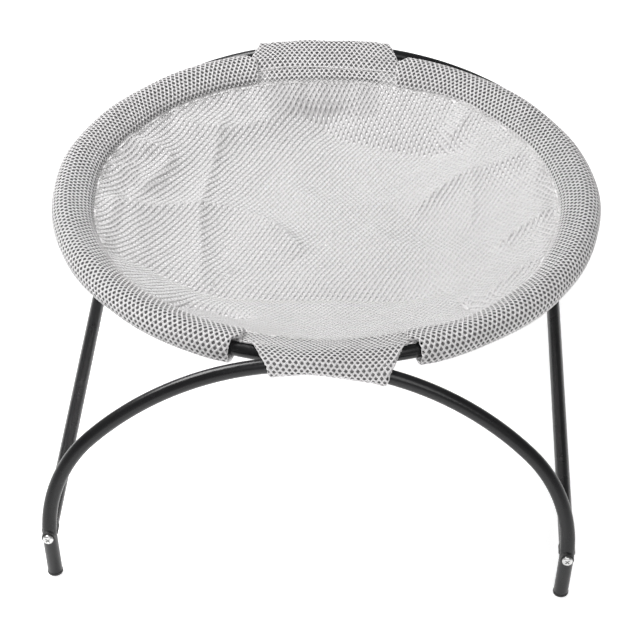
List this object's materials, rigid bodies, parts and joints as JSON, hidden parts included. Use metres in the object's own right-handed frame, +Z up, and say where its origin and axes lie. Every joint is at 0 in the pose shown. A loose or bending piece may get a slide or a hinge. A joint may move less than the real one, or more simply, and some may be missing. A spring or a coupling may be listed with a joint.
{
  "type": "pet hammock bed with frame",
  "caption": "Raised round pet bed: a sagging spacer-mesh bowl on a tube ring, held between two leaning bent-tube arches joined by side rails.",
  "frame": {"origin": "on the floor under the centre of the ring", "axes": "+X to the right, -Y to the front, +Y to the back along the side rails, +Z up"},
  "size_m": [0.5498, 0.6884, 0.2344],
  "materials": {
    "black_tube": "satin powder coat",
    "black_plastic": "fine moulded grain",
    "zinc_steel": "bright zinc plate",
    "brass": "turned",
    "cover_mesh": "warm grey spacer mesh with diamond holes",
    "bowl_mesh": "pale grey spacer mesh, fine ribbed face",
    "hook_tape": "woven tape with stiff nylon hooks",
    "loop_tape": "woven tape with brushed loops"
  },
  "bodies": {
    "stand": {"bowl": "bowl_mesh", "front_apex_rivet_nuts": "zinc_steel", "front_apex_saddle": "black_plastic", "front_apex_screws": "zinc_steel", "front_arch": "black_tube", "front_flap": "cover_mesh", "front_left_foot_cap": "black_plastic", "front_left_rail_plug": "black_plastic", "front_loop_tape": "loop_tape", "front_right_foot_cap": "black_plastic", "front_right_rail_plug": "black_plastic", "front_ring_spigot": "zinc_steel", "left_rail": "black_tube", "left_ring_half": "black_tube", "left_sleeve": "cover_mesh", "rail_inserts": "brass", "rail_screws": "zinc_steel", "rail_washers": "black_plastic", "rear_apex_rivet_nuts": "zinc_steel", "rear_apex_saddle": "black_plastic", "rear_apex_screws": "zinc_steel", "rear_arch": "black_tube", "rear_flap": "cover_mesh", "rear_left_foot_cap": "black_plastic", "rear_left_rail_plug": "black_plastic", "rear_loop_tape": "loop_tape", "rear_right_foot_cap": "black_plastic", "rear_right_rail_plug": "black_plastic", "rear_ring_spigot": "zinc_steel", "right_rail": "black_tube", "right_ring_half": "black_tube", "right_sleeve": "cover_mesh"},
    "front_tail": {"front_flap_tail": "cover_mesh", "front_hook_tape": "hook_tape"},
    "rear_tail": {"rear_flap_tail": "cover_mesh", "rear_hook_tape": "hook_tape"}
  },
  "joints": [
    {"name": "front_tail_hinge", "type": "hinge", "parent": "stand", "child": "front_tail", "pos_m": [0, -0.2891, 0.2065], "axis": [-1, 0, 0], "range_deg": [0, 120]},
    {"name": "rear_tail_hinge", "type": "hinge", "parent": "stand", "child": "rear_tail", "pos_m": [0, 0.2891, 0.2065], "axis": [1, 0, 0], "range_deg": [0, 120]}
  ]
}
